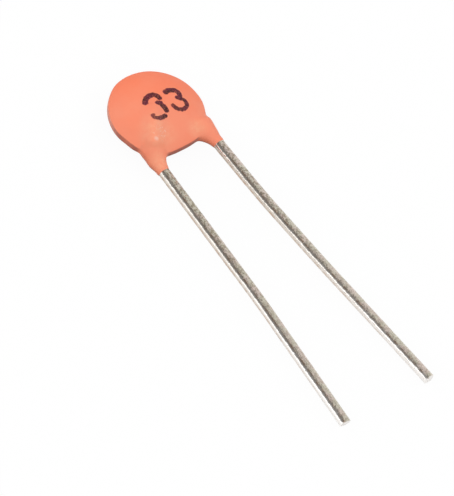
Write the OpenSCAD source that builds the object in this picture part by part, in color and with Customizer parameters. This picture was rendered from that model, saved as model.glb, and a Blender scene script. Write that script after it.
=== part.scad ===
// Ceramic disc capacitor, lying face up on its coat's back and its two lead tips.
// A fired ceramic disc carries a silver electrode on each face. One tinned wire lead
// is soldered to each electrode, and a dipped resin coat covers the disc, the solder
// and the first stretch of both leads, where it runs out in two tapered legs.
// Lengths are in millimetres. Inside the modules the disc is centred on the origin
// in the XY plane with its leads towards -Y; at_rest() then lays the part down.

/* [Ceramic disc] */
// Diameter of the ceramic disc
ceramic_d = 3.8; // [3.4:0.05:5]
// Thickness of the ceramic disc
ceramic_t = 0.4; // [0.2:0.05:0.8]

/* [Electrodes] */
// Bare margin between an electrode's edge and the ceramic's edge
electrode_margin = 0.2; // [0.1:0.05:0.4]
// Thickness of the fired silver
electrode_t = 0.03; // [0.02:0.01:0.06]

/* [Leads] */
// Diameter of the tinned wire
lead_d = 0.6; // [0.4:0.02:0.7]
// Distance between the leads where they leave the coat
lead_gap = 3.5; // [3.3:0.05:4]
// Distance between the two lead tips
lead_pitch = 5.34; // [4:0.01:7]
// Bare length of a lead, from the coat's leg to its tip
lead_len = 16.6; // [12:0.01:30]
// Centre-line radius of the two elbows inside the coat
elbow_r = 0.6; // [0.5:0.05:0.8]
// Straight stretch from the end of the coat's leg to the first elbow
knee_in = 0.62; // [0.5:0.02:0.7]
// Distance of the second elbow from the ceramic's edge
shoulder_out = 0.2; // [0.1:0.05:0.3]
// Distance of the second elbow from the part's middle line
shoulder_x = 1.45; // [1.2:0.05:1.6]
// How far a lead's inner end stays to its own side of the disc's centre
head_x = 0.5; // [0.3:0.05:0.8]
// How far a lead's inner end stays below the disc's centre
head_y = 0.12; // [0:0.02:0.4]
// Centre-line radius of the slight set in the bare leads
set_r = 60; // [30:1:100]
// Distance from the coat to the set in the front lead
front_set_y = 8.6; // [6:0.05:9]
// Inward offset of the front lead at its set
front_set_x = 0.14; // [0.05:0.005:0.2]
// Distance from the coat to the first set in the back lead
back_set_y = 3.82; // [3:0.02:5]
// Inward offset of the back lead at its first set
back_set_x = 0.168; // [0.05:0.002:0.2]
// Distance from the coat to the second set in the back lead
back_set2_y = 8.72; // [7:0.02:10]
// Inward offset of the back lead at its second set
back_set2_x = 0.15; // [0.05:0.002:0.2]
// Slant of the cut across each lead's tip, in degrees
snip_slant = 14; // [0:1:30]

/* [Solder] */
// Solder between an electrode and the underside of its lead
solder_film = 0.02; // [0.01:0.01:0.05]
// Height of the solder fillet beside the lead, above the electrode
solder_h = 0.4; // [0.3:0.02:0.5]
// Width of solder beyond the lead on each side, on the electrode
solder_side = 0.26; // [0.15:0.01:0.35]
// Distance of the solder's outer end from the electrode's edge
solder_inset = 0.12; // [0.05:0.01:0.3]

/* [Coating] */
// Width of the coat beyond the ceramic's edge
coat_rim = 0.6; // [0.5:0.01:0.9]
// Width of the coat below the ceramic's lower edge, between the legs
coat_sill = 0.37; // [0.3:0.01:0.45]
// Thickness of the coat's wall round its rim
coat_wall = 0.32; // [0.24:0.02:0.5]
// Radius between the wall and each face
coat_edge_r = 0.07; // [0.05:0.01:0.1]
// Thickness of the coat over the middle of an electrode
coat_face = 0.53; // [0.5:0.01:0.8]
// Thickness of the coat over a lead's inner end
coat_over = 0.06; // [0.04:0.01:0.15]
// Length of a leg below the coat's sill
leg_len = 0.59; // [0.4:0.01:1.2]
// Thickness of the coat round the lead at the end of a leg
leg_film = 0.02; // [0.02:0.01:0.08]
// Thickness of the coat round the lead's line at the root of a leg
leg_root = 0.18; // [0.1:0.01:0.3]
// Height of a leg's root above the coat's sill
leg_rise = 0.5; // [0.4:0.01:0.8]
// How far a leg leans towards the middle from its end to its root
leg_lean = 0.17; // [0.1:0.01:0.3]
// Width over which a leg melts into the disc
leg_blend = 0.3; // [0.2:0.05:0.5]
// Width over which the ridge over a lead melts into the disc's face
ridge_blend = 0.6; // [0.3:0.05:0.9]

/* [Hidden] */
$fn = 64;

coat_colour = [0.96, 0.5, 0.37];
ceramic_colour = [0.85, 0.8, 0.72];
silver_colour = [0.8, 0.8, 0.78];
tin_colour = [0.66, 0.64, 0.6];
solder_colour = [0.6, 0.61, 0.62];

FRONT = 1;   // the front lead is on the left, over the upper face
BACK = -1;   // the back lead is on the right, under the lower face

ceramic_r = ceramic_d / 2;
electrode_r = ceramic_r - electrode_margin;
electrode_z = ceramic_t / 2 + electrode_t;
lead_r = lead_d / 2;
head_z = electrode_z + solder_film + lead_r;

coat_r = ceramic_r + coat_rim;
sill_y = ceramic_r + coat_sill;
sill_blend = 0.3;
dome_power = 2.6;
dome_z = electrode_z + coat_face;
ridge_r = lead_r + coat_over;
leg_end_y = sill_y + leg_len;
tip_y = leg_end_y + lead_len;

// ---- lead centre-lines ----

function unit(v) = v / norm(v);
function lerp(a, b, t) = a + (b - a) * t;

// Points of the lead on one side, side = FRONT or BACK, inner end first.
function head_end(side) = [-side * head_x, -head_y, side * head_z];
function shoulder(side) =
    [-side * shoulder_x, -sqrt((ceramic_r + shoulder_out) ^ 2 - shoulder_x ^ 2), side * head_z];
function leg_end(side) = [-side * lead_gap / 2, -leg_end_y, 0];
function tip(side) = [-side * lead_pitch / 2, -tip_y, 0];
// A point that stands y below the leg's end, x inward of the straight line to the tip
function set_point(side, y, x) = lerp(leg_end(side), tip(side), y / lead_len) + [side * x, 0, 0];
front_set = set_point(FRONT, front_set_y, front_set_x);
back_set = set_point(BACK, back_set_y, back_set_x);
back_set2 = set_point(BACK, back_set2_y, back_set2_x);
// The first elbow lies on the line of the run that leaves the coat
function knee(side) =
    leg_end(side) + knee_in * unit(leg_end(side) - (side == FRONT ? front_set : back_set));

front_path = [head_end(FRONT), shoulder(FRONT), knee(FRONT), front_set, tip(FRONT)];
front_bends = [elbow_r, elbow_r, set_r];
back_path = [head_end(BACK), shoulder(BACK), knee(BACK), back_set, back_set2, tip(BACK)];
back_bends = [elbow_r, elbow_r, set_r, set_r];

// ---- wire ----

lap = 0.03;
hair = 0.004;

// Angle of the bend at path[i], and how far the bend reaches along each run beside it
function bend_angle(path, i) =
    acos(unit(path[i] - path[i - 1]) * unit(path[i + 1] - path[i]));
function bend_reach(path, bends, i) =
    i == 0 || i == len(path) - 1 ? 0 : bends[i - 1] * tan(bend_angle(path, i) / 2);

// Places its children with their own axes along the three given unit vectors
module with_axes(origin, x, y, z) {
    multmatrix([[x.x, y.x, z.x, origin.x],
                [x.y, y.y, z.y, origin.y],
                [x.z, y.z, z.z, origin.z],
                [0, 0, 0, 1]])
        children();
}

// Places its children with +Z along the unit vector way
module along(origin, way) {
    side = unit(cross(way, [0, 0, 1]));
    with_axes(origin, side, cross(way, side), way)
        children();
}

// A round wire of straight runs and true arcs along a path. Each run laps into the arcs
// beside it, and the arcs are a hair thicker, so that the pieces join without a seam.
module wire(path, bends, r) {
    last = len(path) - 1;
    for (i = [0 : last - 1]) {
        way = unit(path[i + 1] - path[i]);
        from = bend_reach(path, bends, i) - (i == 0 ? 0 : lap);
        to = norm(path[i + 1] - path[i]) - bend_reach(path, bends, i + 1)
            + (i == last - 1 ? 0 : lap);
        along(path[i] + way * from, way)
            cylinder(r = r, h = to - from);
    }
    for (i = [1 : last - 1]) {
        way = unit(path[i] - path[i - 1]);
        next = unit(path[i + 1] - path[i]);
        inward = unit(next - way * (next * way));
        start = path[i] - way * bend_reach(path, bends, i);
        with_axes(start + inward * bends[i - 1], -inward, way, cross(way, inward))
            rotate_extrude(angle = bend_angle(path, i))
                translate([bends[i - 1], 0])
                    circle(r = r + hair);
    }
}

// The wire less a slanted cut across its tip
module lead(path, bends) {
    last = len(path) - 1;
    way = unit(path[last] - path[last - 1]);
    difference() {
        wire(path, bends, lead_r);
        along(path[last], way)
            rotate([snip_slant, 0, 0])
                translate([-lead_d, -lead_d, 0])
                    cube(2 * lead_d);
    }
}

// ---- inner pieces ----

module disc_electrode(side) {
    mirror([0, 0, side == FRONT ? 0 : 1])
        translate([0, 0, ceramic_t / 2])
            cylinder(r = electrode_r, h = electrode_t);
}

// Half of the fillet's cross-section, from the lead's middle outwards
module solder_profile() {
    foot = lead_r + solder_side;
    difference() {
        square([foot, solder_h]);
        translate([foot, solder_h])
            circle(r = min(solder_side, solder_h) * 0.98);
    }
}

// Solder beside and under a lead's inner end
module solder(side) {
    path = side == FRONT ? front_path : back_path;
    flat_end = [path[0].x, path[0].y, 0];
    way = unit([path[1].x, path[1].y, 0] - flat_end);
    reach = electrode_r - solder_inset;
    along_way = flat_end * way;
    run = sqrt(along_way ^ 2 - flat_end * flat_end + reach ^ 2) - along_way;
    across = cross([0, 0, 1], way);
    difference() {
        mirror([0, 0, side == FRONT ? 0 : 1]) {
            with_axes(flat_end + [0, 0, electrode_z], across, [0, 0, 1], -way)
                translate([0, 0, -run])
                    linear_extrude(run)
                        for (m = [0, 1]) mirror([m, 0]) solder_profile();
            with_axes(flat_end + [0, 0, electrode_z], -across, -way, [0, 0, 1])
                rotate_extrude(angle = 180)
                    solder_profile();
        }
        wire(path, side == FRONT ? front_bends : back_bends, lead_r);
    }
}

// ---- coat ----

// Distance fields: negative inside a shape, positive outside it.
function melt(a, b, k) = let (h = max(k - abs(a - b), 0) / k) min(a, b) - h * h * k / 4;

// A rod from a to b whose radius runs from ra to rb
function rod_field(p, a, b, ra, rb) =
    let (t = min(max((p - a) * (b - a) / ((b - a) * (b - a)), 0), 1))
    norm(p - lerp(a, b, t)) - lerp(ra, rb, t);

// The disc: a low wall round its rim and its straight sill, and faces domed from there
function disc_field(p) =
    let (inset = melt(coat_r - norm([p.x, p.y]), p.y + sill_y, sill_blend),
         beyond = coat_edge_r - inset,
         way_in = min(max(inset / coat_r, 0), 1),
         dome = (dome_z - coat_wall / 2) * (1 - (1 - way_in) ^ dome_power),
         above = abs(p.z) - dome - (coat_wall / 2 - coat_edge_r))
    norm([max(beyond, 0), max(above, 0)]) + min(max(beyond, above), 0) - coat_edge_r;

// One leg, tapered down to a film on its lead
function leg_field(p, side) =
    let (root = [-side * (lead_gap / 2 - leg_lean), leg_rise - sill_y, 0])
    rod_field(p, leg_end(side), root, lead_r + leg_film, lead_r + leg_root);

// The ridge that one lead raises where it climbs from its leg onto the disc's face
function ridge_field(p, side) =
    let (rise = rod_field(p, knee(side), shoulder(side), lead_r, ridge_r),
         crest = rod_field(p, shoulder(side), head_end(side), ridge_r, lead_r))
    melt(rise, crest, ridge_blend / 6);

function coat_field(p) =
    let (ridges = min(ridge_field(p, FRONT), ridge_field(p, BACK)),
         legs = min(leg_field(p, FRONT), leg_field(p, BACK)))
    melt(melt(disc_field(p), ridges, ridge_blend), legs, leg_blend);

// ---- coat's mesh ----
//
// A fan of rays from the disc's centre and a grid of rows down each leg, on both faces.
// The fan's border crosses each leg along its grid's first row, just below the sill.

rings = 20;
sill_rays = 9;
rim_rays = 28;
rim_crowding = 1.25;
leg_rows = 12;
leg_cols = 12;
leg_top_y = sill_y + 0.03;
// The skin closes inside the lead, a little past the end of the film on it
cap_r = 0.97 * lead_r;
leg_bottom_y = leg_end_y + sqrt((lead_r + leg_film) ^ 2 - cap_r ^ 2);
far = 2 * tip_y;

// Halving steps between a point inside the coat and one outside it
function edge_point(inside, outside, steps = 20) =
    let (middle = (inside + outside) / 2)
    steps == 0 ? middle :
    coat_field(middle) < 0 ? edge_point(middle, outside, steps - 1) :
    edge_point(inside, middle, steps - 1);
function on_outline(from, way) = edge_point(from, from + far * way);
function on_face(foot) = edge_point(foot, foot + [0, 0, 2 * dome_z]);
function turned(p) = [-p.x, p.y, -p.z];

// One row across a leg, from its inner edge to its outer edge, closest together there
function leg_row(side, y) =
    let (middle = [-side * lead_gap / 2, -y, 0],
         inner = on_outline(middle, [side, 0, 0]),
         outer = on_outline(middle, [-side, 0, 0]))
    [for (i = [0 : leg_cols])
        let (foot = lerp(inner, outer, (1 - cos(180 * i / leg_cols)) / 2))
        i == 0 || i == leg_cols ? foot : on_face(foot)];

// One side of the fan's border, from the middle of the sill to the top of the disc.
// Angles are in degrees from -Y.
function side_border(side) =
    let (row = leg_row(side, leg_top_y),
         inner_a = atan(abs(row[0].x) / leg_top_y),
         outer_a = atan(abs(row[leg_cols].x) / leg_top_y),
         sill = [for (i = [0.5 : sill_rays]) inner_a * i / sill_rays],
         rim = [for (i = [0.5 : rim_rays])
                   lerp(outer_a, 180, (i / rim_rays) ^ rim_crowding)],
         edge = function(a) on_outline([0, 0, 0], [-side * sin(a), -cos(a), 0]))
    concat([for (a = sill) edge(a)], row, [for (a = rim) edge(a)]);

// The two triangles of a four-sided patch, split along its shorter diagonal
function patch(points, a, b, c, d) =
    norm(points[a] - points[c]) < norm(points[b] - points[d])
        ? [[a, b, c], [a, c, d]] : [[a, b, d], [b, c, d]];

module coat_skin() {
    right = side_border(BACK);
    left = side_border(FRONT);
    half = len(right);
    border = concat(right, [for (i = [half - 1 : -1 : 0]) left[i]]);
    n = 2 * half;
    rim_0 = (rings - 1) * n;
    legs_0 = rings * n;
    leg_size = leg_rows * (leg_cols + 1);
    top_i = legs_0 + 2 * leg_size;

    // The upper face: rings from the middle out, then both legs, then the middle itself.
    // Rings crowd together towards the rim.
    upper = concat(
        [for (i = [1 : rings - 1])
            for (p = border)
                on_face(sin(90 * i / rings) * [p.x, p.y, 0])],
        border,
        [for (side = [BACK, FRONT])
            for (row = [1 : leg_rows])
                each leg_row(side, lerp(leg_top_y, leg_bottom_y, row / leg_rows))],
        [on_face([0, 0, 0])]);

    // Index of a leg's point; row 0 is part of the fan's border
    function leg_i(side, row, col) =
        row > 0 ? legs_0 + (side == BACK ? 0 : leg_size) + (row - 1) * (leg_cols + 1) + col :
        rim_0 + (side == BACK ? sill_rays + col : n - 1 - sill_rays - col);

    // The lower face is the upper one turned half way round Y, and shares its outline
    function below(i) =
        upper[i].z > 0 ? len(upper) + i :
        i < legs_0 ? rim_0 + n - 1 - (i - rim_0) :
        i < legs_0 + leg_size ? i + leg_size : i - leg_size;

    middle_faces = [for (j = [0 : n - 1]) [top_i, (j + 1) % n, j]];
    ring_faces = [
        for (i = [0 : rings - 2])
            for (j = [0 : n - 1])
                let (own = i * n, out = own + n, k = (j + 1) % n)
                each patch(upper, own + j, own + k, out + k, out + j)];
    function leg_faces(side) = [
        for (row = [0 : leg_rows - 1])
            for (col = [0 : leg_cols - 1])
                let (first = side == BACK ? col : col + 1,
                     next = side == BACK ? col + 1 : col)
                each patch(upper, leg_i(side, row, first), leg_i(side, row, next),
                           leg_i(side, row + 1, next), leg_i(side, row + 1, first))];
    faces = concat(middle_faces, ring_faces, leg_faces(BACK), leg_faces(FRONT));

    // The flat end of a leg, going round by its upper edge and back by its lower one
    function leg_cap(side) = concat(
        [for (col = [0 : leg_cols]) leg_i(side, leg_rows, col)],
        [for (col = [leg_cols - 1 : -1 : 1]) below(leg_i(-side, leg_rows, col))]);
    back_cap = leg_cap(BACK);
    front_cap = leg_cap(FRONT);

    polyhedron(concat(upper, [for (p = upper) turned(p)]),
               concat(faces,
                      [for (f = faces) [for (i = f) below(i)]],
                      [back_cap, [for (i = [len(front_cap) - 1 : -1 : 0]) front_cap[i]]]));
}

// ---- the part as it lies ----

// The lowest spot of the ridge on the coat's back and both tips' undersides touch Z = 0
back_ridge = [for (t = [0 : 0.1 : 1])
                 let (p = lerp(shoulder(BACK), head_end(BACK), t))
                 edge_point([p.x, p.y, 0], [p.x, p.y, -2 * dome_z])];
rest_tilt = max([for (p = back_ridge) atan((-p.z - lead_r) / (tip_y + p.y))]);
rest_z = max([for (p = back_ridge) -p.y * sin(rest_tilt) - p.z * cos(rest_tilt)]);
rest_y = (tip_y - coat_r) / 2 * cos(rest_tilt);

module at_rest() {
    translate([0, rest_y, rest_z])
        rotate([rest_tilt, 0, 0])
            children();
}

module ceramic_disc() {
    color(ceramic_colour)
        at_rest()
            cylinder(d = ceramic_d, h = ceramic_t, center = true);
}

module front_electrode() {
    color(silver_colour)
        at_rest()
            disc_electrode(FRONT);
}

module back_electrode() {
    color(silver_colour)
        at_rest()
            disc_electrode(BACK);
}

module front_lead() {
    color(tin_colour)
        at_rest()
            lead(front_path, front_bends);
}

module back_lead() {
    color(tin_colour)
        at_rest()
            lead(back_path, back_bends);
}

module front_solder() {
    color(solder_colour)
        at_rest()
            solder(FRONT);
}

module back_solder() {
    color(solder_colour)
        at_rest()
            solder(BACK);
}

module coating() {
    color(coat_colour)
        difference() {
            at_rest()
                coat_skin();
            ceramic_disc();
            front_electrode();
            back_electrode();
            front_lead();
            back_lead();
            front_solder();
            back_solder();
        }
}

coating();
ceramic_disc();
front_electrode();
back_electrode();
front_lead();
back_lead();
front_solder();
back_solder();
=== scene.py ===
import math

import bpy
import numpy as np
from mathutils import Matrix, Vector


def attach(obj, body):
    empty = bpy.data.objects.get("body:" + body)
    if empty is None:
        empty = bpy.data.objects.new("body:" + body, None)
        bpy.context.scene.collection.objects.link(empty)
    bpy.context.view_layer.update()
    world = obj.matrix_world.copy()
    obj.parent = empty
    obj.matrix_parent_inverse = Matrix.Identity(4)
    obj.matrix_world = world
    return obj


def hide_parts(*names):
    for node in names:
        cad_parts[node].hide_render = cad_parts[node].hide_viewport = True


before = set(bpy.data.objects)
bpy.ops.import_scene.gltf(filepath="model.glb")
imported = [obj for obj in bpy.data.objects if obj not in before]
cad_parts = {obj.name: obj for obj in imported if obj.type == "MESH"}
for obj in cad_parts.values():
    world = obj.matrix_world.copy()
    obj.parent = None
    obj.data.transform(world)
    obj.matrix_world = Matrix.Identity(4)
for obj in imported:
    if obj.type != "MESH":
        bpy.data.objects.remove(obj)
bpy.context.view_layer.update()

MM = 0.001

# ---------------------------------------------------------------- camera
# The camera stands far off with a long lens. Angles are in degrees, lengths in mm.

IMAGE_W, IMAGE_H = 454, 496
SENSOR = 36.0
CAM_DISTANCE = 1000.0
CAM_AZIMUTH, CAM_ELEVATION, CAM_ROLL = -51.8865, 53.0276, 18.0175
CAM_AIM_RIGHT, CAM_AIM_UP = -1.3274, -0.0854
CAM_FOCAL_PX = 20012.0


def make_camera():
    a, e, r = (math.radians(v) for v in (CAM_AZIMUTH, CAM_ELEVATION, CAM_ROLL))
    back = Vector((math.sin(a) * math.cos(e), -math.cos(a) * math.cos(e), math.sin(e)))
    right = Vector((math.cos(a), math.sin(a), 0))
    up = back.cross(right)
    rolled_right = right * math.cos(r) + up * math.sin(r)
    rolled_up = up * math.cos(r) - right * math.sin(r)
    place = rolled_right * CAM_AIM_RIGHT + rolled_up * CAM_AIM_UP + back * CAM_DISTANCE
    lens = bpy.data.cameras.new("camera")
    lens.sensor_width = SENSOR
    lens.lens = CAM_FOCAL_PX * SENSOR / max(IMAGE_W, IMAGE_H)
    lens.clip_start = 0.01
    lens.clip_end = 100
    camera = bpy.data.objects.new("camera", lens)
    turn = Matrix((rolled_right, rolled_up, back)).transposed().to_4x4()
    camera.matrix_world = Matrix.Translation(place * MM) @ turn
    bpy.context.scene.collection.objects.link(camera)
    bpy.context.scene.camera = camera


make_camera()

# ---------------------------------------------------------------- the CAD model's sizes
# Lengths are in mm, in the disc's own axes: the disc is centred on the origin in the
# XY plane and the leads run towards -Y. The coat's wall is 0.03 mm taller and its edges
# are crisper than the CAD model's. All the rest is the same.

LEAD_R = 0.3
LEAD_GAP = 3.5
LEAD_PITCH = 5.34
LEAD_LEN = 16.60
ELBOW_R = 0.6
SET_R = 60.0
CERAMIC_R = 1.9
HEAD_X, HEAD_Y, HEAD_Z = 0.5, 0.12, 0.55
SHOULDER_X, SHOULDER_OUT = 1.45, 0.2
COAT_R = 2.50
SILL_Y = 2.27
SILL_BLEND = 0.3
WALL = 0.35
EDGE_R = 0.04
DOME_POWER = 2.6
DOME_Z = 0.76
RIDGE_R = 0.36
RIDGE_BLEND = 0.6
KNEE_IN = 0.62
LEG_LEN = 0.59
LEG_FILM = 0.02
LEG_ROOT = 0.18
LEG_RISE = 0.5
LEG_LEAN = 0.17
LEG_BLEND = 0.3
LEG_END_Y = SILL_Y + LEG_LEN
TIP_Y = LEG_END_Y + LEAD_LEN
FRONT, BACK = 1, -1

REST = np.array([[1.0, 0.0, 0.0],
                 [0.0, 0.999373, -0.0354159],
                 [0.0, 0.0354159, 0.999373]])
REST_AT = np.array([0.0, 8.47468, 0.989006])


def to_frame(points):
    """Points from the disc's own axes, in mm, to the row frame in metres."""
    return (points @ REST.T + REST_AT) * MM


def vec(*values):
    return np.array(values, float)


def unit(v):
    return v / np.linalg.norm(v)


def head_end(side):
    return vec(-side * HEAD_X, -HEAD_Y, side * HEAD_Z)


def shoulder(side):
    below = math.sqrt((CERAMIC_R + SHOULDER_OUT) ** 2 - SHOULDER_X ** 2)
    return vec(-side * SHOULDER_X, -below, side * HEAD_Z)


def leg_end(side):
    return vec(-side * LEAD_GAP / 2, -LEG_END_Y, 0)


def tip(side):
    return vec(-side * LEAD_PITCH / 2, -TIP_Y, 0)


def set_point(side, y, x):
    return leg_end(side) + (tip(side) - leg_end(side)) * y / LEAD_LEN + vec(side * x, 0, 0)


FRONT_SET = set_point(FRONT, 8.6, 0.14)
BACK_SET = set_point(BACK, 3.82, 0.168)
BACK_SET_2 = set_point(BACK, 8.72, 0.15)


def knee(side):
    way = unit(leg_end(side) - (FRONT_SET if side == FRONT else BACK_SET))
    return leg_end(side) + KNEE_IN * way


# ---------------------------------------------------------------- helpers

NOISE_SIZE = 64


def noise(points, cell, seed):
    """Smooth noise between -1 and 1, with bumps about a cell apart."""
    table = np.random.default_rng(seed).uniform(-1, 1, (NOISE_SIZE,) * 3)
    q = points / cell
    base = np.floor(q).astype(int)
    f = q - base
    f = f * f * (3 - 2 * f)
    total = np.zeros(len(points))
    for corner in np.ndindex(2, 2, 2):
        weight = np.prod(np.where(corner, f, 1 - f), axis=1)
        i, j, k = ((base + corner) % NOISE_SIZE).T
        total += weight * table[i, j, k]
    return total


def smooth_step(low, high, value):
    t = np.clip((value - low) / (high - low), 0, 1)
    return t * t * (3 - 2 * t)


def make_mesh(name, points, faces, material):
    """A smooth shaded piece that rides with the part. Points are in the disc's axes."""
    mesh = bpy.data.meshes.new(name)
    mesh.from_pydata(to_frame(points).tolist(), [], faces)
    mesh.polygons.foreach_set("use_smooth", [True] * len(mesh.polygons))
    mesh.materials.append(material)
    mesh.update()
    piece = bpy.data.objects.new(name, mesh)
    bpy.context.scene.collection.objects.link(piece)
    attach(piece, "root")
    return piece


def paint_points(piece, name, values):
    """Stores one number for each of a mesh's points, for a material to read."""
    piece.data.attributes.new(name, "FLOAT", "POINT").data.foreach_set("value", values)


class Graph:
    """The nodes of a material or of the world. A value that is given for a socket is a
    number, a tuple or another socket."""

    def __init__(self, owner):
        owner.use_nodes = True
        self.owner = owner
        self.tree = owner.node_tree
        self.tree.nodes.clear()

    def node(self, kind, values=(), **settings):
        made = self.tree.nodes.new(kind)
        for key, value in settings.items():
            setattr(made, key, value)
        for key, value in dict(values).items():
            self.feed(made.inputs[key], value)
        return made

    def feed(self, socket, value):
        if isinstance(value, bpy.types.NodeSocket):
            self.tree.links.new(value, socket)
        elif isinstance(value, (tuple, list)) and socket.type == "RGBA" and len(value) == 3:
            socket.default_value = (*value, 1)
        else:
            socket.default_value = value

    def math(self, operation, a, b=0.0, clamp=False):
        return self.node("ShaderNodeMath", {0: a, 1: b}, operation=operation,
                         use_clamp=clamp).outputs[0]

    def ramp(self, value, low, high, start=0.0, end=1.0):
        return self.node("ShaderNodeMapRange", {"Value": value, "From Min": low, "From Max": high,
                                                "To Min": start, "To Max": end},
                         interpolation_type="SMOOTHSTEP").outputs[0]

    def mix(self, factor, a, b):
        made = self.tree.nodes.new("ShaderNodeMix")
        made.data_type = "RGBA"
        self.feed(made.inputs["Factor"], factor)
        self.feed(made.inputs[6], a)
        self.feed(made.inputs[7], b)
        return made.outputs[2]

    def speckle(self, place, size_mm, detail=2.0, rough=0.5):
        """Noise whose features are about size_mm across."""
        return self.node("ShaderNodeTexNoise", {"Vector": place, "Scale": 1 / (size_mm * MM),
                                                "Detail": detail, "Roughness": rough}).outputs[0]

    def spot(self, place, centre, radius_mm, core=0.2):
        """1 at a point given in the disc's axes, falling to 0 at the radius."""
        at = tuple(to_frame(vec(*centre)[None])[0])
        gap = self.node("ShaderNodeVectorMath", {0: place, 1: at}, operation="DISTANCE").outputs[1]
        return self.ramp(gap, radius_mm * MM, radius_mm * core * MM)

    def place(self):
        return self.node("ShaderNodeTexCoord").outputs["Object"]

    def painted(self, name):
        return self.node("ShaderNodeAttribute", attribute_name=name).outputs["Fac"]

    def bump(self, height, distance_mm, strength=1.0):
        return self.node("ShaderNodeBump", {"Height": height, "Distance": distance_mm * MM,
                                            "Strength": strength}).outputs[0]

    def finish(self, values):
        shader = self.node("ShaderNodeBsdfPrincipled", values)
        self.node("ShaderNodeOutputMaterial", {"Surface": shader.outputs[0]})
        return self.owner


def material_graph(name):
    return Graph(bpy.data.materials.new(name))


# ---------------------------------------------------------------- materials
# Colours are linear. Speckle sizes are in mm, and spots are placed in the disc's axes.


def coat_material(name, ink=False):
    g = material_graph(name)
    place = g.place()
    across, along, _ = g.node("ShaderNodeSeparateXYZ", {0: place}).outputs
    # Strongest in colour towards the far right of the disc, with soft clouds
    strong, mid, sheen_tone = (0.97, 0.235, 0.12), (0.95, 0.285, 0.165), (0.95, 0.40, 0.235)
    far_right = g.ramp(g.math("ADD", along, g.math("MULTIPLY", across, 0.6)), 7.2 * MM, 11.0 * MM)
    cloud = g.ramp(g.speckle(place, 1.3, 3.0, 0.5), 0.3, 0.7, -0.25, 0.25)
    colour = g.mix(g.math("ADD", far_right, cloud, clamp=True), mid, strong)
    # Paler patches over the front lead's ridge, the left leg and the right leg's root: painted sheen
    # and highlight
    sheen_patches = g.math("MAXIMUM", g.spot(place, (-1.0, -1.3, 0.85), 1.4, 0.1),
                  g.math("MAXIMUM", g.spot(place, (-1.8, -2.5, 0.37), 0.8, 0.1),
                         g.spot(place, (1.1, -1.85, 0.44), 0.7, 0.1)))
    mottle = g.ramp(g.speckle(place, 0.25, 4.0, 0.6), 0.35, 0.7)
    sheen_share = g.math("MULTIPLY", sheen_patches, g.math("ADD", g.math("MULTIPLY", mottle, 0.5), 0.35))
    colour = g.mix(sheen_share, colour, sheen_tone)
    # Light flecks and one whitish spot on the ridge over the front lead's shoulder: painted
    # highlights
    glint_flecks = g.math("MULTIPLY", g.ramp(g.speckle(place, 0.09, 2.0, 0.5), 0.58, 0.68),
                     g.spot(place, (-0.85, -1.3, 0.85), 0.65, 0.4))
    colour = g.mix(g.math("MULTIPLY", glint_flecks, 0.6), colour, (0.95, 0.62, 0.5))
    painted_glint = g.math("MULTIPLY", g.spot(place, (-1.4, -1.55, 0.94), 0.19, 0.1), 0.5)
    colour = g.mix(painted_glint, colour, (0.93, 0.68, 0.57))
    # The low steep wall round the rim is painted darker and browner on the leads' side, a painted
    # shade, and paler on the far side, a painted highlight
    far_side = g.ramp(along, REST_AT[1] * MM - 0.4 * MM, REST_AT[1] * MM + 0.9 * MM)
    dullness_and_shade = g.mix(far_side, (0.42, 0.135, 0.10), (0.86, 0.36, 0.27))
    colour = g.mix(g.math("MULTIPLY", g.painted("rim"), 0.85), colour, dullness_and_shade)
    if ink:
        tint = g.mix(g.ramp(g.speckle(place, 0.35, 2.0, 0.5), 0.4, 0.62),
                     (0.100, 0.004, 0.026), (0.050, 0.006, 0.009))
        cover = g.ramp(g.speckle(place, 0.06, 2.0, 0.6), 0.3, 0.55, 0.72, 1.0)
        colour = g.mix(g.math("MULTIPLY", g.painted("ink"), cover), colour, tint)
    return g.finish({
        "Base Color": colour,
        "Roughness": g.ramp(g.speckle(place, 0.3, 3.0, 0.5), 0.3, 0.7, 0.42, 0.56),
        "Specular IOR Level": 0.3,
        "Normal": g.bump(g.speckle(place, 0.12, 4.0, 0.55), 0.004, 0.5),
    })


def tinned_material():
    g = material_graph("tinned_wire")
    place = g.place()
    # The mask of the dull side, with painted shade on the other side's edge near the coat
    dullness_and_shade = g.painted("dull_side_and_shade")
    along = g.node("ShaderNodeSeparateXYZ", {0: place}).outputs[1]
    # The clean side is painted darker near the coat, a painted shade, and brightens towards the tips.
    # The other side is dull, blotched and pitted
    clean = g.mix(g.ramp(along, 2.0 * MM, -10.0 * MM), (0.79, 0.74, 0.68), (0.97, 0.94, 0.91))
    dull = g.mix(g.ramp(g.speckle(place, 0.8, 3.0, 0.6), 0.42, 0.58),
                 (0.80, 0.75, 0.62), (0.86, 0.73, 0.65))
    pits = g.math("MULTIPLY", g.ramp(g.speckle(place, 0.15, 3.0, 0.6), 0.42, 0.54, 1.0, 0.0),
                  g.ramp(along, -5.0 * MM, 2.0 * MM, 0.35, 0.7))
    dull = g.mix(pits, dull, (0.34, 0.27, 0.18))
    # Brown blotches along the line where the two sides meet
    brink = g.math("MULTIPLY", dullness_and_shade, g.math("SUBTRACT", 1.0, dullness_and_shade))
    blotch = g.ramp(g.speckle(place, 0.3, 3.0, 0.6), 0.4, 0.62, 0.6, 3.6)
    colour = g.mix(g.math("MULTIPLY", brink, blotch, clamp=True), g.mix(dullness_and_shade, clean, dull),
                   (0.55, 0.38, 0.27))
    height = g.math("ADD", g.math("MULTIPLY", g.speckle(place, 0.09, 3.0, 0.6), 0.3),
                    g.speckle(place, 0.24, 3.0, 0.55))
    return g.finish({
        "Base Color": colour,
        "Metallic": 1.0,
        "Roughness": g.ramp(g.speckle(place, 0.16, 4.0, 0.6), 0.3, 0.7, 0.06, 0.2),
        "Normal": g.bump(height, 0.1, g.ramp(dullness_and_shade, 0.0, 1.0, 0.2, 1.0)),
    })


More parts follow.
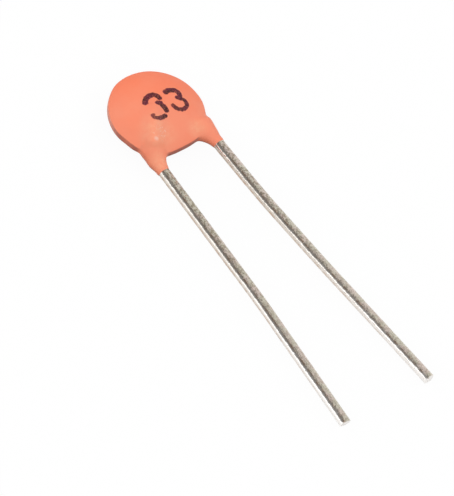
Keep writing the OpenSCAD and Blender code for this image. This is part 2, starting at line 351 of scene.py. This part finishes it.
def ceramic_material():
    g = material_graph("ceramic")
    place = g.place()
    colour = g.mix(g.speckle(place, 0.08, 3.0, 0.6), (0.62, 0.5, 0.36), (0.78, 0.68, 0.53))
    return g.finish({"Base Color": colour, "Roughness": 0.6,
                     "Normal": g.bump(g.speckle(place, 0.03), 0.002, 0.4)})


def silver_material():
    g = material_graph("fired_silver")
    place = g.place()
    colour = g.mix(g.speckle(place, 0.05, 3.0, 0.6), (0.62, 0.6, 0.56), (0.85, 0.83, 0.8))
    return g.finish({"Base Color": colour, "Metallic": 1.0,
                     "Roughness": g.ramp(g.speckle(place, 0.1), 0.3, 0.7, 0.4, 0.6),
                     "Normal": g.bump(g.speckle(place, 0.02), 0.001, 0.4)})


def solder_material():
    g = material_graph("solder")
    place = g.place()
    colour = g.mix(g.speckle(place, 0.2, 3.0, 0.5), (0.5, 0.5, 0.52), (0.72, 0.72, 0.72))
    return g.finish({"Base Color": colour, "Metallic": 1.0,
                     "Roughness": g.ramp(g.speckle(place, 0.15), 0.3, 0.7, 0.18, 0.35),
                     "Normal": g.bump(g.speckle(place, 0.25), 0.01, 0.5)})


# ---------------------------------------------------------------- coat


def melt(a, b, k):
    h = np.maximum(k - np.abs(a - b), 0) / k
    return np.minimum(a, b) - h * h * k / 4


def rod_field(p, a, b, ra, rb):
    t = np.clip((p - a) @ (b - a) / ((b - a) @ (b - a)), 0, 1)
    return np.linalg.norm(p - a - t[:, None] * (b - a), axis=1) - ra - (rb - ra) * t


def disc_inset(p):
    """How far inside the disc's outline a point is, seen from above."""
    return melt(COAT_R - np.hypot(p[:, 0], p[:, 1]), p[:, 1] + SILL_Y, SILL_BLEND)


def disc_field(p):
    inset = disc_inset(p)
    beyond = EDGE_R - inset
    dome = (DOME_Z - WALL / 2) * (1 - (1 - np.clip(inset / COAT_R, 0, 1)) ** DOME_POWER)
    above = np.abs(p[:, 2]) - dome - (WALL / 2 - EDGE_R)
    return (np.hypot(np.maximum(beyond, 0), np.maximum(above, 0))
            + np.minimum(np.maximum(beyond, above), 0) - EDGE_R)


def leg_field(p, side):
    root = vec(-side * (LEAD_GAP / 2 - LEG_LEAN), LEG_RISE - SILL_Y, 0)
    return rod_field(p, leg_end(side), root, LEAD_R + LEG_FILM, LEAD_R + LEG_ROOT)


def ridge_field(p, side):
    rise = rod_field(p, knee(side), shoulder(side), LEAD_R, RIDGE_R)
    crest = rod_field(p, shoulder(side), head_end(side), RIDGE_R, LEAD_R)
    return melt(rise, crest, RIDGE_BLEND / 6)


# Swellings of this one dip: place, radius, height
LUMPS = [((0.05, -2.3, 0.0), 1.0, 0.06), ((-0.8, 2.35, 0.0), 0.8, 0.04),
         ((2.4, -0.5, 0.1), 0.6, 0.03), ((2.05, -1.72, 0.3), 0.36, 0.09),
         ((-2.42, -0.65, 0.3), 0.5, -0.11), ((-2.15, -2.45, 0.0), 0.5, 0.04)]
# Its slight unevenness: distance between bumps, seed, height
UNEVEN = [(0.9, 1, 0.010), (0.33, 2, 0.004), (0.11, 3, 0.0012)]


def coat_shape(p):
    body = melt(disc_field(p), np.minimum(ridge_field(p, FRONT), ridge_field(p, BACK)), RIDGE_BLEND)
    field = melt(body, np.minimum(leg_field(p, FRONT), leg_field(p, BACK)), LEG_BLEND)
    for at, radius, height in LUMPS:
        field -= height * np.exp(-((p - vec(*at)) ** 2).sum(1) / radius ** 2)
    return field


def coat_field(p):
    return coat_shape(p) - sum(height * noise(p, cell, seed) for cell, seed, height in UNEVEN)


def gradient(field, p, h=0.003):
    return np.stack([(field(p + h * axis) - field(p - h * axis)) / (2 * h)
                     for axis in np.eye(3)], axis=1)


def settle(field, p, limit, rounds=4):
    """Moves points along the field's slope onto its zero surface."""
    for _ in range(rounds):
        slope = gradient(field, p)
        move = -field(p)[:, None] * slope / np.maximum((slope ** 2).sum(1), 0.05)[:, None]
        length = np.linalg.norm(move, axis=1, keepdims=True)
        p = p + move * np.minimum(1, limit / np.maximum(length, 1e-9))
    return p


def surface_net(field, low, high, step):
    """A closed mesh of quads round the part of space where the field is negative."""
    count = np.ceil((high - low) / step).astype(int) + 1
    axes = [low[i] + step * np.arange(count[i]) for i in range(3)]
    value = field(np.stack(np.meshgrid(*axes, indexing="ij"), -1).reshape(-1, 3)).reshape(count)
    inside = value < 0
    cells = tuple(count - 1)
    filled = sum(inside[tuple(slice(o, o + n) for o, n in zip(corner, cells))].astype(int)
                 for corner in np.ndindex(2, 2, 2))
    mixed = np.argwhere((filled > 0) & (filled < 8))
    index = np.full(cells, -1)
    index[tuple(mixed.T)] = np.arange(len(mixed))
    total = np.zeros((len(mixed), 3))
    hits = np.zeros(len(mixed))
    for axis in range(3):
        others = [i for i in range(3) if i != axis]
        for pair in np.ndindex(2, 2):
            start = np.zeros(3, int)
            start[others] = pair
            end = start.copy()
            end[axis] = 1
            a = value[tuple((mixed + start).T)]
            b = value[tuple((mixed + end).T)]
            crossing = (a < 0) != (b < 0)
            t = np.where(crossing, a / np.where(crossing, a - b, 1), 0)
            at = start + t[:, None] * (end - start)
            total += at * crossing[:, None]
            hits += crossing
    points = low + step * (mixed + total / hits[:, None])
    faces = []
    for axis in range(3):
        b, c = (axis + 1) % 3, (axis + 2) % 3
        first = [slice(None)] * 3
        second = [slice(None)] * 3
        first[axis], second[axis] = slice(0, -1), slice(1, None)
        edge = np.argwhere(inside[tuple(first)] != inside[tuple(second)])
        out = inside[tuple(edge.T)]
        step_b, step_c = np.eye(3, dtype=int)[b], np.eye(3, dtype=int)[c]
        ring = [index[tuple((edge - back).T)] for back in
                (step_b + step_c, step_c, 0 * step_b, step_b)]
        quad = np.stack(ring, axis=1)
        faces.append(np.where(out[:, None], quad, quad[:, ::-1]))
    return points, np.concatenate(faces)


NET_STEP = 0.034
NET_LOW, NET_HIGH = vec(-2.8, -3.2, -1.1), vec(2.8, 2.7, 1.1)
RIM_BAND = 0.2


def make_coat(material):
    points, faces = surface_net(coat_shape, NET_LOW, NET_HIGH, NET_STEP)
    points = settle(coat_field, points, NET_STEP / 2)
    coat = make_mesh("coating_skin", points, faces.tolist(), material)
    # The rim mask marks the steep wall away from the legs, where the coat's colour carries painted
    # shade
    steep = smooth_step(0.75, 0.4, np.abs(gradient(coat_field, points)[:, 2]))
    legs = np.minimum.reduce([field(points, side) for field in (leg_field, ridge_field)
                              for side in (FRONT, BACK)])
    outer = smooth_step(RIM_BAND, 0.0, disc_inset(points))
    clear = smooth_step(RIM_BAND / 2, 2 * RIM_BAND, legs)
    paint_points(coat, "rim", steep * outer * clear)
    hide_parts("coating")


# ---------------------------------------------------------------- leads


def lead_line(path, bends, step):
    """Points, directions and distances along a wire of straight runs and arcs."""
    line, ways = [], []

    def run(a, b):
        n = max(2, int(np.linalg.norm(b - a) / step))
        for t in np.arange(n) / n:
            line.append(a + (b - a) * t)
            ways.append(unit(b - a))

    at = path[0]
    for i in range(1, len(path) - 1):
        way, ahead = unit(path[i] - path[i - 1]), unit(path[i + 1] - path[i])
        angle = math.acos(way @ ahead)
        r = bends[i - 1]
        start = path[i] - way * r * math.tan(angle / 2)
        inward = unit(ahead - way * (ahead @ way))
        run(at, start)
        n = max(4, int(angle * r / step))
        for a in np.arange(n) * angle / n:
            line.append(start + way * r * math.sin(a) + inward * r * (1 - math.cos(a)))
            ways.append(way * math.cos(a) + inward * math.sin(a))
        at = path[i] + ahead * r * math.tan(angle / 2)
    run(at, path[-1])
    line.append(path[-1])
    ways.append(unit(path[-1] - path[-2]))
    line, ways = np.array(line), np.array(ways)
    gone = np.r_[0, np.cumsum(np.linalg.norm(np.diff(line, axis=0), axis=1))]
    return line, ways, gone


RING_STEP = 0.05
SIDES = 48
# The wire's mean surface stays this far inside the CAD model's, so that its relief fits
SKIN_IN = 0.004
PIT_CELL, PIT_SHIFT, PIT_DEPTH = 0.16, 0.25, 0.008
DENTS = [(0.55, 0.003), (0.07, 0.002)]
# The side that is dull, which way it faces, and how much painted shade darkens the other side's edge
# near the coat
DULL_SIDE = vec(0.86, 0, 0.51)
EDGE_SHADE = 0.6
# The cut at the tip: how far past the CAD model's it is, how much of the wire leans with
# it, where a burr stands on it and how narrow that burr is
SNIP_PAST = 0.08
SNIP_REACH = 0.4
BURR_SIDE = vec(-0.51, 0, 0.86)
BURR_WIDTH = 0.03
# The flat ends are rings of the last section at these shares of its size. The cut one
# is dished by up to DISH, and the first ring rounds its edge by EDGE_ROUND
TIP_RINGS = (0.93, 0.8, 0.6, 0.4, 0.2)
HEAD_RINGS = (0.8, 0.5, 0.2)
DISH, EDGE_ROUND = 0.03, 0.012


def make_lead(name, node, path, bends, tip_lean, burr, material, seed):
    end_way = unit(path[-1] - path[-2])
    line, ways, gone = lead_line(path[:-1] + [path[-1] + SNIP_PAST * end_way], bends, RING_STEP)
    across = unit(np.cross(ways[0], vec(0, 0, 1)))
    firsts = []
    for way in ways:
        across = unit(across - way * (across @ way))
        firsts.append(across)
    firsts = np.array(firsts)
    seconds = np.cross(ways, firsts)
    phi = np.arange(SIDES) * 2 * math.pi / SIDES
    spoke = (firsts[:, None] * np.cos(phi)[None, :, None]
             + seconds[:, None] * np.sin(phi)[None, :, None])
    flat = (line[:, None] + spoke * LEAD_R).reshape(-1, 3)
    relief = np.minimum(noise(flat, PIT_CELL, seed) + PIT_SHIFT, 0) * PIT_DEPTH
    for count, (cell, height) in enumerate(DENTS, 1):
        relief += noise(flat, cell, seed + count) * height
    radius = (LEAD_R - SKIN_IN + relief).reshape(len(line), SIDES)
    wall = line[:, None] + spoke * radius[:, :, None]
    # One side of the wire is dull, and near the coat the other side's edge is darkened as painted
    # shade
    side = spoke @ DULL_SIDE
    fade = 1 - gone[:, None] / gone[-1]
    dull_side_and_shade = smooth_step(-0.3, 0.35, side) + EDGE_SHADE * smooth_step(-0.66, -0.8, side) * fade
    # The last rings lean forward at the top and carry the burr
    way = ways[-1]
    lean = (tip_lean * (spoke[-1] @ vec(0, 0, 1))
            + burr * np.exp((spoke[-1] @ BURR_SIDE - 1) / BURR_WIDTH))
    pull = np.clip(1 - (gone[-1] - gone) / SNIP_REACH, 0, 1) ** 2
    wall = wall + (pull[:, None] * lean[None, :])[:, :, None] * way
    rings = [wall.reshape(-1, 3)]
    for k, t in enumerate(TIP_RINGS):
        dish = DISH * (1 - t) - (EDGE_ROUND if k == 0 else 0)
        rings.append(line[-1] + (wall[-1] - line[-1]) * t - way * dish)
    for t in HEAD_RINGS:
        rings.append(line[0] + (wall[0] - line[0]) * t)
    points = np.concatenate(rings)
    faces = []

    def strip(a, b):
        for i in range(SIDES):
            j = (i + 1) % SIDES
            faces.append([a * SIDES + i, a * SIDES + j, b * SIDES + j, b * SIDES + i])

    def ring(k):
        return list(range(k * SIDES, (k + 1) * SIDES))

    head = len(line) + len(TIP_RINGS)
    for k in range(head - 1):
        strip(k, k + 1)
    strip(head, 0)
    for k in range(head, head + len(HEAD_RINGS) - 1):
        strip(k + 1, k)
    faces.append(ring(head - 1))
    faces.append(ring(head + len(HEAD_RINGS) - 1)[::-1])
    lead = make_mesh(name, points, faces, material)
    ends = (len(TIP_RINGS) + len(HEAD_RINGS)) * SIDES
    paint_points(lead, "dull_side_and_shade", np.r_[dull_side_and_shade.ravel(), np.zeros(ends)])
    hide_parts(node)


# ---------------------------------------------------------------- ink
# The printed number follows the coat's upper face. Each stroke is a line of points in the
# disc's axes, with its half width and how dense the ink is at its start and end.

STROKES = {
    "digit_left": [
        ([(-0.54, 0.50), (-0.48, 0.60), (-0.28, 0.73), (-0.08, 0.76), (0.14, 0.72), (0.26, 0.59),
          (0.30, 0.40)], 0.142, 1.0, 1.0),
        ([(0.02, 0.18), (0.11, 0.08), (0.16, -0.10), (0.17, -0.24), (0.15, -0.37)],
         0.150, 1.0, 1.0),
        ([(0.02, 0.17), (0.16, 0.12)], 0.135, 1.0, 1.0),
        ([(-0.07, -0.60), (-0.25, -0.64), (-0.48, -0.65), (-0.66, -0.58), (-0.75, -0.46),
          (-0.73, -0.36)], 0.112, 1.0, 0.85),
    ],
    "digit_right": [
        ([(0.82, 0.55), (0.97, 0.58), (1.17, 0.53), (1.35, 0.45), (1.42, 0.29), (1.41, 0.15),
          (1.37, 0.06)], 0.150, 1.0, 1.0),
        ([(1.14, 0.03), (1.22, -0.06), (1.32, -0.18)], 0.105, 1.0, 1.0),
        ([(1.35, -0.15), (1.44, -0.29), (1.43, -0.48), (1.31, -0.63), (1.14, -0.69),
          (0.97, -0.69), (0.78, -0.59), (0.68, -0.46), (0.65, -0.30)], 0.118, 1.0, 0.95),
    ],
}
INK_STEP = 0.014
INK_SOFT = 0.015
INK_LIFT = 0.004
INK_SINK = 0.02
INK_RAGGED, INK_RAGGED_CELL = 0.022, 0.09
INK_MARGIN = 0.2
INK_LEAST = 0.02
INK_START_Z = 0.7


def ink_density(p, strokes, seed):
    best = np.zeros(len(p))
    ragged = INK_RAGGED * noise(np.c_[p, 0 * p[:, 0]], INK_RAGGED_CELL, seed)
    for line, half, start, end in strokes:
        line = np.array(line)
        steps = len(line) - 1
        for i in range(steps):
            a, b = line[i], line[i + 1]
            t = np.clip((p - a) @ (b - a) / ((b - a) @ (b - a)), 0, 1)
            gap = np.linalg.norm(p - a - t[:, None] * (b - a), axis=1) + ragged
            level = start + (end - start) * (i + t) / steps
            best = np.maximum(best, level * smooth_step(half + INK_SOFT, half - INK_SOFT, gap))
    return best


def make_ink(name, strokes, material, seed):
    every = np.concatenate([np.array(s[0]) for s in strokes])
    low, high = every.min(0) - INK_MARGIN, every.max(0) + INK_MARGIN
    nx, ny = np.ceil((high - low) / INK_STEP).astype(int) + 1
    gx, gy = np.meshgrid(low[0] + INK_STEP * np.arange(nx), low[1] + INK_STEP * np.arange(ny),
                         indexing="ij")
    flat = np.c_[gx.ravel(), gy.ravel()]
    density = ink_density(flat, strokes, seed)
    grid = density.reshape(nx, ny)
    used = np.maximum.reduce([grid[:-1, :-1], grid[1:, :-1], grid[:-1, 1:], grid[1:, 1:]]) > INK_LEAST
    # The points drop onto the coat's upper face
    top = np.c_[flat, np.full(len(flat), INK_START_Z)]
    h = vec(0, 0, 0.003)
    for _ in range(6):
        slope = (coat_field(top + h) - coat_field(top - h)) / (2 * h[2])
        top[:, 2] -= coat_field(top) / np.maximum(slope, 0.3)
    # Cells that touch at a corner alone are joined, so that the skin stays closed
    blocks = [used[:-1, :-1], used[1:, 1:], used[1:, :-1], used[:-1, 1:]]
    a, b, c, d = (block.copy() for block in blocks)
    lone = (a & b & ~c & ~d) | (c & d & ~a & ~b)
    for block in blocks:
        block |= lone
    number = np.arange(nx * ny).reshape(nx, ny)
    i, j = np.argwhere(used).T
    cell = np.stack([number[i, j], number[i + 1, j], number[i + 1, j + 1], number[i, j + 1]], 1)
    # The edges that belong to one cell alone get a wall down to the underside
    sides = {}
    for quad in cell.tolist():
        for a, b in zip(quad, quad[1:] + quad[:1]):
            if (b, a) in sides:
                del sides[(b, a)]
            else:
                sides[(a, b)] = True
    total = nx * ny
    faces = cell.tolist() + (cell[:, ::-1] + total).tolist()
    faces += [[b, a, a + total, b + total] for a, b in sides]
    keep = np.unique(np.array(faces))
    renumber = np.full(2 * total, -1)
    renumber[keep] = np.arange(len(keep))
    points = np.concatenate([top + vec(0, 0, INK_LIFT), top - vec(0, 0, INK_SINK)])[keep]
    digit = make_mesh(name, points, renumber[np.array(faces)].tolist(), material)
    paint_points(digit, "ink", np.r_[density, density][keep])


# ---------------------------------------------------------------- the part

make_coat(coat_material("coat"))
tin = tinned_material()
make_lead("front_lead_wire", "front_lead",
          [head_end(FRONT), shoulder(FRONT), knee(FRONT), FRONT_SET, tip(FRONT)],
          [ELBOW_R, ELBOW_R, SET_R], tip_lean=0.06, burr=0.0, material=tin, seed=11)
make_lead("back_lead_wire", "back_lead",
          [head_end(BACK), shoulder(BACK), knee(BACK), BACK_SET, BACK_SET_2, tip(BACK)],
          [ELBOW_R, ELBOW_R, SET_R, SET_R], tip_lean=0.0, burr=0.08, material=tin, seed=21)
marking = coat_material("marking_ink", ink=True)
for count, (digit_name, digit_strokes) in enumerate(STROKES.items()):
    make_ink(digit_name, digit_strokes, marking, seed=31 + count)

for names, dressing in ((("ceramic_disc",), ceramic_material()),
                        (("front_electrode", "back_electrode"), silver_material()),
                        (("front_solder", "back_solder"), solder_material())):
    for node_name in names:
        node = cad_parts[node_name]
        node.data.materials.clear()
        node.data.materials.append(dressing)

# ---------------------------------------------------------------- floor and sky
# The floor is pale to the camera and to mirrored rays alone, by its colour and by a share
# of plain white. What reaches the part from it is a dark floor's light.
FLOOR_HALF, FLOOR_Z = 2.0, -0.000002
FLOOR_PALE, FLOOR_DARK = 0.95, 0.05
WHITE_SEEN, WHITE_MIRRORED = 0.95, 0.2


def make_floor():
    g = material_graph("floor")
    ray = g.node("ShaderNodeLightPath")
    camera, mirrored = ray.outputs["Is Camera Ray"], ray.outputs["Is Glossy Ray"]
    tone = g.mix(g.math("MAXIMUM", camera, mirrored), (FLOOR_DARK,) * 3, (FLOOR_PALE,) * 3)
    share = g.math("MAXIMUM", g.math("MULTIPLY", camera, WHITE_SEEN),
                   g.math("MULTIPLY", mirrored, WHITE_MIRRORED))
    lit = g.node("ShaderNodeBsdfDiffuse", {"Color": tone})
    white = g.node("ShaderNodeEmission", {"Color": (1, 1, 1), "Strength": 1.0})
    surface = g.node("ShaderNodeMixShader", {0: share, 1: lit.outputs[0], 2: white.outputs[0]})
    g.node("ShaderNodeOutputMaterial", {"Surface": surface.outputs[0]})
    mesh = bpy.data.meshes.new("floor")
    r, z = FLOOR_HALF, FLOOR_Z
    mesh.from_pydata([(-r, -r, z), (r, -r, z), (r, r, z), (-r, r, z)], [], [(0, 1, 2, 3)])
    mesh.materials.append(g.owner)
    floor = bpy.data.objects.new("floor", mesh)
    bpy.context.scene.collection.objects.link(floor)


# What lights the object, and what its metal mirrors: soft round patches in the sky, each with
# its azimuth from +X, elevation, the angles where it starts and ends to fade, and its strength.
# The mirrored ones stand on an even level.
LIGHTS = [(-100, 55, 10, 70, 1.22), (0, 10, 10, 60, 1.5), (120, 10, 10, 60, 1.75),
          (180, 10, 10, 60, 0.7)]
MIRROR_LEVEL = 0.7
MIRRORED = [(134, 48, 25, 43, -0.45), (167, -6, 18, 28, 0.95)]


def make_world():
    world = bpy.data.worlds.new("world")
    g = Graph(world)
    ray = g.node("ShaderNodeLightPath")
    way = g.node("ShaderNodeTexCoord").outputs["Generated"]

    def glow(azimuth, elevation, core, spread, strength):
        a, e, core, spread = (math.radians(v) for v in (azimuth, elevation, core, spread))
        towards = (math.cos(e) * math.cos(a), math.cos(e) * math.sin(a), math.sin(e))
        nearness = g.node("ShaderNodeVectorMath", {0: way, 1: towards},
                          operation="DOT_PRODUCT").outputs[1]
        return g.ramp(nearness, math.cos(spread), math.cos(core), 0.0, strength)

    def either(choice, no, yes):
        return g.node("ShaderNodeMix", {"Factor": ray.outputs[choice], 2: no, 3: yes}).outputs[0]

    light, mirror = 0.0, MIRROR_LEVEL
    for lamp in LIGHTS:
        light = g.math("ADD", light, glow(*lamp))
    for patch in MIRRORED:
        mirror = g.math("ADD", mirror, glow(*patch))
    level = either("Is Camera Ray", either("Is Glossy Ray", light, mirror), 1.0)
    sky = g.node("ShaderNodeBackground", {"Color": (1, 1, 1), "Strength": level})
    g.node("ShaderNodeOutputWorld", {"Surface": sky.outputs[0]})
    bpy.context.scene.world = world


make_floor()
make_world()

bpy.context.scene.view_settings.view_transform = "Standard"
